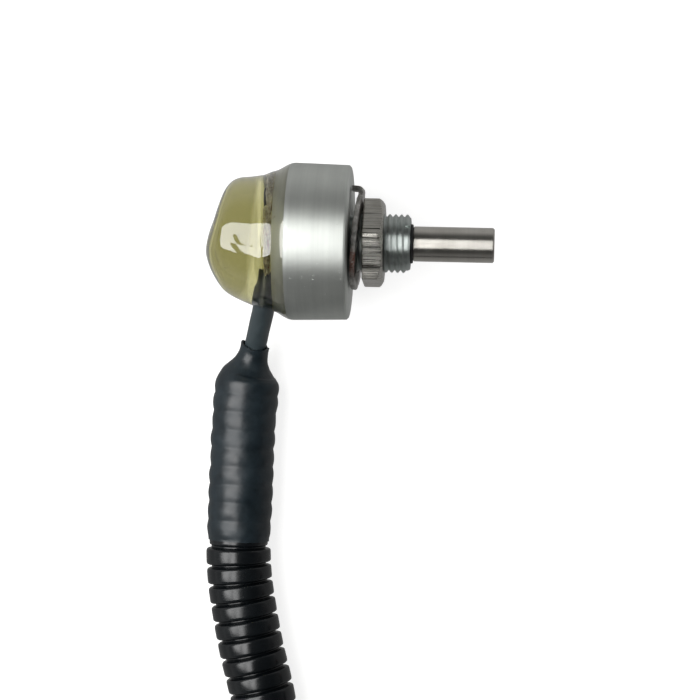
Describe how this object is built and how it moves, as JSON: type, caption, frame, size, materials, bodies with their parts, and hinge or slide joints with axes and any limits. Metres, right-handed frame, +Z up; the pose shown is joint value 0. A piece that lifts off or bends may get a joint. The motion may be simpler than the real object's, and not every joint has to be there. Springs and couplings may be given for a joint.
{
  "type": "rotary position sensor",
  "caption": "Bushing-mount rotary position sensor: turned housing, stopless shaft, lug washer, hex nut, potted dome and a coiled lead in corrugated conduit with a plug.",
  "frame": {"origin": "centre of the housing's front face, on the shaft's axis", "axes": "+X along the shaft to its free end, +Z up as it lies on its side, +Y away from the lead"},
  "size_m": [0.1246, 0.2191, 0.027],
  "materials": {
    "turned_aluminium": "satin",
    "ground_steel": "polished",
    "plated_nut": "satin",
    "plated_sheet": "worn",
    "spring_steel": "satin",
    "bronze": "satin",
    "wiper_alloy": "polished",
    "gold_plate": "polished",
    "tinned_copper": "worn",
    "black_rubber": "matte",
    "orange_rubber": "matte",
    "epoxy": "gloss",
    "black_moulding": "satin",
    "white_plastic": "satin",
    "board": "satin",
    "carbon_ink": "matte",
    "red_sleeving": "satin",
    "white_sleeving": "satin",
    "black_sleeving": "satin",
    "cable_jacket": "satin",
    "heat_shrink": "matte",
    "conduit": "gloss"
  },
  "bodies": {
    "stator": {"housing": "turned_aluminium", "shaft_seal": "black_rubber", "front_bearing": "bronze", "rear_bearing": "bronze", "element_board": "board", "resistance_track": "carbon_ink", "collector_ring": "gold_plate", "terminal_pins": "gold_plate", "rear_cover": "black_moulding", "wire_supply": "red_sleeving", "wire_signal": "white_sleeving", "wire_ground": "black_sleeving", "shield_braid": "tinned_copper", "potting_dome": "epoxy", "lug_washer": "plated_sheet", "hex_nut": "plated_nut", "cable_jacket": "cable_jacket", "heat_shrink": "heat_shrink", "conduit": "conduit", "conduit_coil": "conduit", "conduit_tail": "conduit", "coil_tie": "white_plastic", "connector_boot": "black_rubber", "connector_body": "black_moulding", "connector_seal": "orange_rubber", "connector_contacts": "gold_plate"},
    "rotor": {"shaft": "ground_steel", "retaining_ring": "spring_steel", "thrust_washer": "white_plastic", "rotor_hub": "black_moulding", "wiper": "wiper_alloy"}
  },
  "joints": [
    {"name": "shaft_turn", "type": "hinge", "parent": "stator", "child": "rotor", "pos_m": [0, 0, 0], "axis": [1, 0, 0], "continuous": true}
  ]
}
